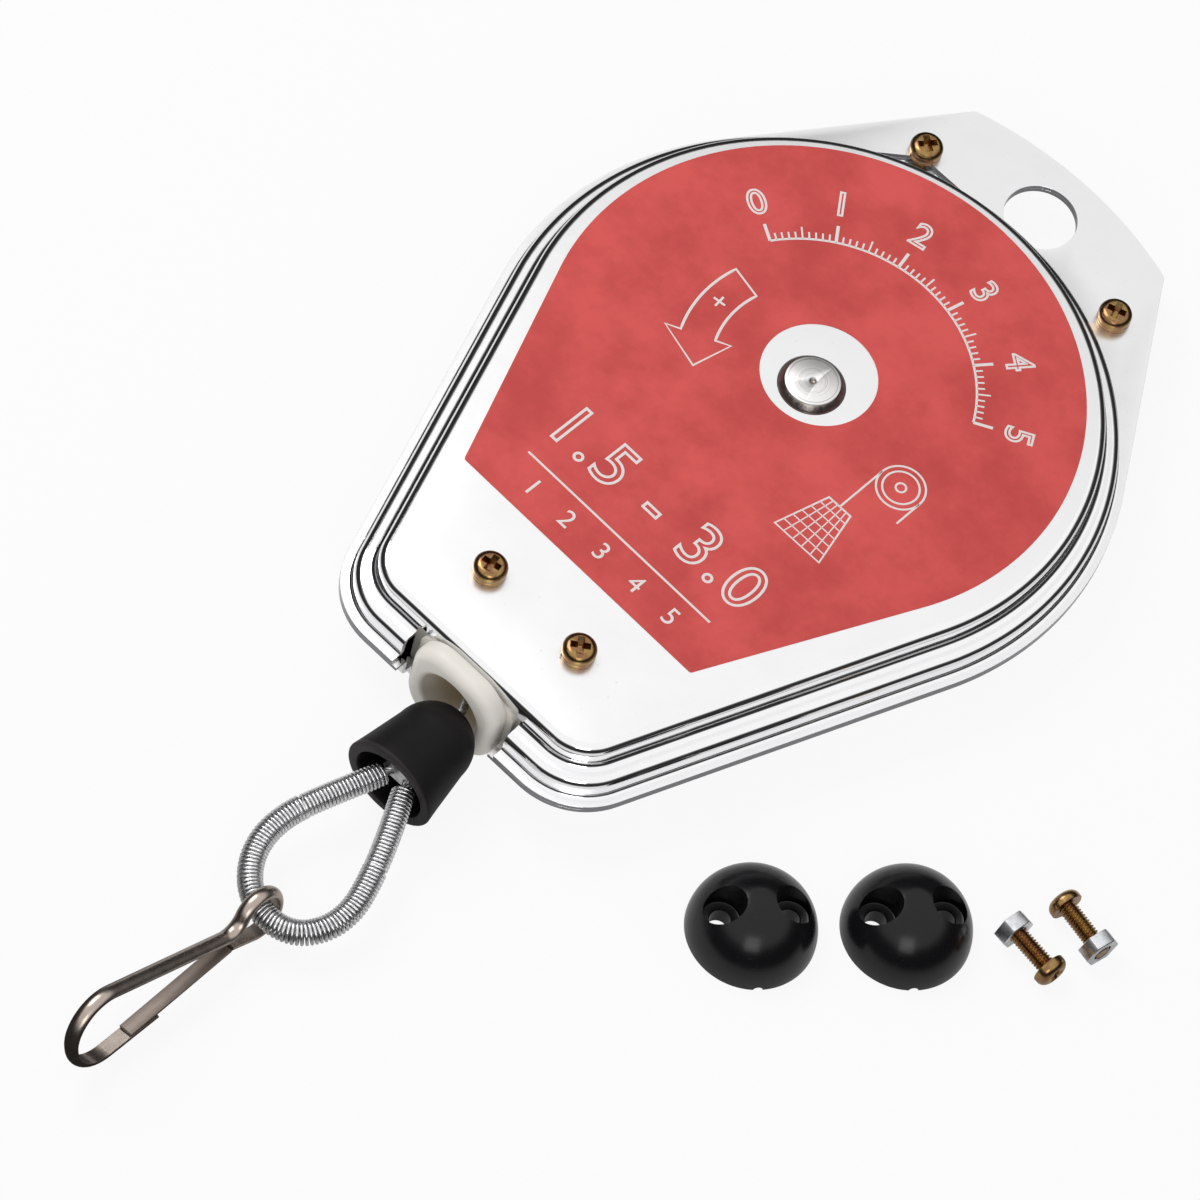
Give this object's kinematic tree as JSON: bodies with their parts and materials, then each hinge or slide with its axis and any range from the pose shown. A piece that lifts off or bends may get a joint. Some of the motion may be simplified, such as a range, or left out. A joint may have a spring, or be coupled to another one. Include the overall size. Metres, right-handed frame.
{
  "type": "tool balancer",
  "caption": "Spring balancer in a chromed two-part case with a hanging tab, a sprung cable drum, a rubber cable stop, a wire loop and a snap hook, with a loose split stop ball.",
  "frame": {"origin": "centre of the hanging hole, halfway through the two sheets of the tab", "axes": "+Z out of the front face, along the hanging hole and the drum axle; +Y from the cable outlet towards the hanging tab; +X to the right, seen from the front"},
  "size_m": [0.1938, 0.3046, 0.0278],
  "materials": {
    "cover_chrome": "bright chrome plate",
    "label_red": "printed vinyl label, red with white marks",
    "bush_nylon": "ivory nylon",
    "screw_zinc": "yellow passivated zinc",
    "nut_zinc": "bright zinc",
    "inner_steel": "turned steel",
    "bearing_bronze": "oiled bronze",
    "shaft_nickel": "turned and nickel plated",
    "ratchet_steel": "hardened steel",
    "spring_steel": "blued spring steel",
    "drum_plastic": "glass-filled nylon",
    "cable_steel": "galvanised wire rope",
    "ferrule_aluminium": "crimped aluminium",
    "stopper_rubber": "matt black rubber",
    "loop_spring_steel": "close-wound bright wire",
    "hook_nickel": "warm nickel plate",
    "ball_plastic": "gloss black plastic"
  },
  "bodies": {
    "case": {"front_cover": "cover_chrome", "rear_cover": "cover_chrome", "front_label": "label_red", "cable_guide_bush": "bush_nylon", "case_screws": "screw_zinc", "tab_screws": "screw_zinc", "spring_washers": "screw_zinc", "case_nuts": "nut_zinc", "tab_nuts": "nut_zinc", "case_spacers": "inner_steel", "front_bearing": "bearing_bronze", "rear_bearing": "bearing_bronze", "pawl_pin": "inner_steel", "pawl_spring_post": "inner_steel", "pawl_spring": "spring_steel", "cable_run": "cable_steel"},
    "arbor": {"drum_shaft": "shaft_nickel", "spring_arbor": "inner_steel", "arbor_pin": "inner_steel", "ratchet_wheel": "ratchet_steel", "ratchet_clip": "spring_steel", "power_spring": "spring_steel"},
    "drum": {"cable_drum": "drum_plastic", "drum_cover": "inner_steel", "drum_cover_screws": "screw_zinc", "drum_bearing_rear": "bearing_bronze", "drum_bearing_front": "bearing_bronze", "spring_anchor_pin": "inner_steel", "cable_anchor": "ferrule_aluminium", "wound_cable": "cable_steel"},
    "pawl": {"pawl": "ratchet_steel"},
    "cable_mouth": {"cable_in_bush": "cable_steel"},
    "cable_end": {"cable_tail": "cable_steel", "rubber_stopper": "stopper_rubber", "loop_ferrule": "ferrule_aluminium", "loop_cable": "cable_steel", "loop_spring_left": "loop_spring_steel", "loop_spring_lower": "loop_spring_steel", "loop_spring_right": "loop_spring_steel"},
    "hook": {"snap_hook": "hook_nickel"},
    "hook_gate": {"hook_gate": "hook_nickel"},
    "stop_ball_half_1": {"stop_ball_half_1": "ball_plastic"},
    "stop_ball_half_2": {"stop_ball_half_2": "ball_plastic"},
    "stop_ball_screw_1": {"stop_ball_screw_1": "screw_zinc", "stop_ball_nut_1": "nut_zinc"},
    "stop_ball_screw_2": {"stop_ball_screw_2": "screw_zinc", "stop_ball_nut_2": "nut_zinc"}
  },
  "joints": [
    {"name": "drum_spin", "type": "hinge", "parent": "case", "child": "drum", "pos_m": [0, -0.075, 0.003], "axis": [0, 0, 1], "range_deg": [0, 1860], "stiffness_Nm_per_rad": 0.0123, "springref_deg": -2790.3, "deforming": ["power_spring", "cable_run"]},
    {"name": "tension_set", "type": "hinge", "parent": "case", "child": "arbor", "pos_m": [0, -0.075, 0.003], "axis": [0, 0, -1], "continuous": true, "deforming": ["power_spring"]},
    {"name": "pawl_lift", "type": "hinge", "parent": "case", "child": "pawl", "pos_m": [0.01348, -0.06105, -0.0086], "axis": [0, 0, 1], "range_deg": [0, 11], "stiffness_Nm_per_rad": 0.01, "springref_deg": -11.46, "deforming": ["pawl_spring"]},
    {"name": "cable_sway", "type": "hinge", "parent": "case", "child": "cable_mouth", "pos_m": [0.00071, -0.17407, -0.0002], "axis": [0, 0, 1], "range_deg": [-28, 0], "deforming": ["cable_run"]},
    {"name": "cable_pull", "type": "slide", "parent": "cable_mouth", "child": "cable_end", "axis": [0, -1, 0], "range_m": [0, 1.3], "deforming": ["cable_tail"]},
    {"name": "hook_swing", "type": "hinge", "parent": "cable_end", "child": "hook", "pos_m": [0.00665, -0.23806, -0.00569], "axis": [1, 0, 0], "range_deg": [-110, 60]},
    {"name": "gate_press", "type": "hinge", "parent": "hook", "child": "hook_gate", "pos_m": [0.00698, -0.2483, -0.00723], "axis": [-0.9781, 0, -0.2079], "range_deg": [0, 16], "stiffness_Nm_per_rad": 0.1, "springref_deg": -5.73},
    {"name": "stop_ball_half_1_lift", "type": "slide", "parent": "case", "child": "stop_ball_half_1", "axis": [0, 0, 1], "range_m": [0, 0.05]},
    {"name": "stop_ball_half_2_lift", "type": "slide", "parent": "case", "child": "stop_ball_half_2", "axis": [0, 0, 1], "range_m": [0, 0.05]},
    {"name": "stop_ball_screw_1_lift", "type": "slide", "parent": "case", "child": "stop_ball_screw_1", "axis": [0, 0, 1], "range_m": [0, 0.05]},
    {"name": "stop_ball_screw_2_lift", "type": "slide", "parent": "case", "child": "stop_ball_screw_2", "axis": [0, 0, 1], "range_m": [0, 0.05]}
  ],
  "couplings": [
    {"joint": "cable_pull", "follows": "drum_spin", "m_per_rad": 0.04}
  ]
}
